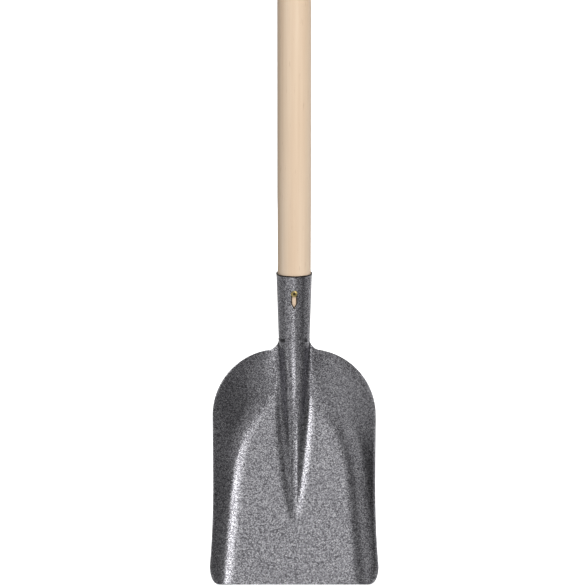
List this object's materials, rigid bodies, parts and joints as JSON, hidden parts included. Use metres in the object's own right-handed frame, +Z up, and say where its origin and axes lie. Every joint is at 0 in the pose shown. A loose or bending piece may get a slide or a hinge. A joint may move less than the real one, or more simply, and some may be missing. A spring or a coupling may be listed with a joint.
{
  "type": "grain scoop shovel",
  "caption": "Long-handled scoop shovel with a pressed steel pan, side walls, a central ridge and a rolled socket.",
  "frame": {"origin": "middle of the cutting edge, at half the sheet's thickness", "axes": "+Z up along the handle's axis, which is 62 mm behind the origin; the scoop opens towards -Y; +X is to the right, seen from the scoop's open side"},
  "size_m": [0.1996, 0.0923, 1.4522],
  "materials": {
    "head_enamel": "silver-grey hammertone enamel, semi-gloss",
    "handle_wood": "pale sanded hardwood, no varnish",
    "screw_zinc": "yellow passivated zinc"
  },
  "bodies": {
    "root": {"scoop_head": "head_enamel", "handle": "handle_wood", "fixing_screw": "screw_zinc"}
  },
  "joints": []
}
